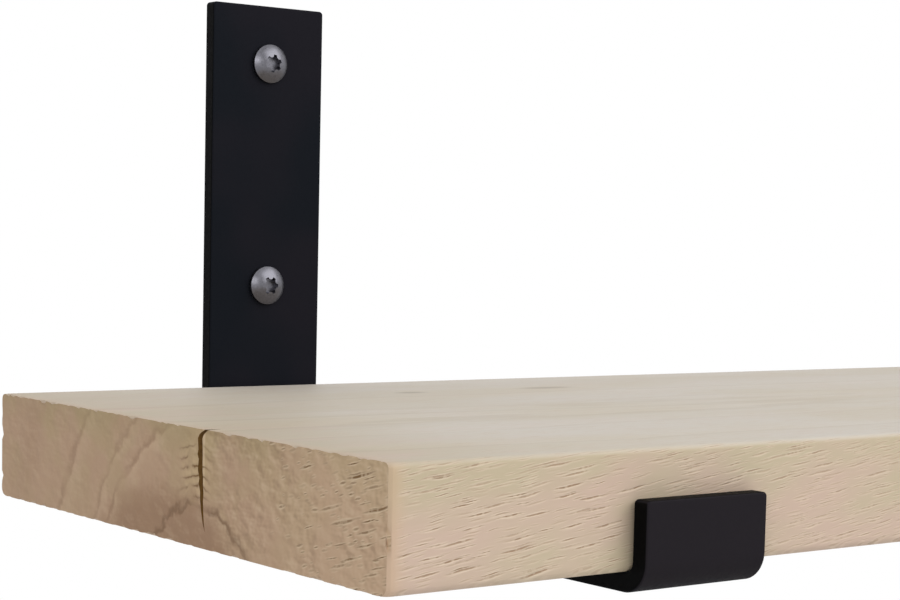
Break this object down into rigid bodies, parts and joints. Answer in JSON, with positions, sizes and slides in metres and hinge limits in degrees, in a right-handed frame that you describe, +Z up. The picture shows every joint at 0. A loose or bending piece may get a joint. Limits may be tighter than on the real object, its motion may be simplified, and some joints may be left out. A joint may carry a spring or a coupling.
{
  "type": "wall shelf",
  "caption": "Wall shelf: a solid oak board with eased edges lying in bent flat-bar steel brackets with upright wall plates and turned-up front lips, screwed to a wall.",
  "frame": {"origin": "centre of the rectangle of the four wall fixings, on the wall plane", "axes": "+X along the board to the right as seen from the room, +Y into the wall, +Z up; the front faces -Y"},
  "size_m": [0.6, 0.242, 0.1573],
  "materials": {
    "oak": "sanded, untreated",
    "coated_steel": "matt black powder coat",
    "stainless_steel": "satin",
    "nylon": "matt"
  },
  "bodies": {
    "root": {"shelf_board": "oak", "left_bracket": "coated_steel", "right_bracket": "coated_steel", "left_upper_wall_screw": "stainless_steel", "left_upper_wall_plug": "nylon", "left_lower_wall_screw": "stainless_steel", "left_lower_wall_plug": "nylon", "left_back_board_screw": "stainless_steel", "left_front_board_screw": "stainless_steel", "right_upper_wall_screw": "stainless_steel", "right_upper_wall_plug": "nylon", "right_lower_wall_screw": "stainless_steel", "right_lower_wall_plug": "nylon", "right_back_board_screw": "stainless_steel", "right_front_board_screw": "stainless_steel"}
  },
  "joints": []
}
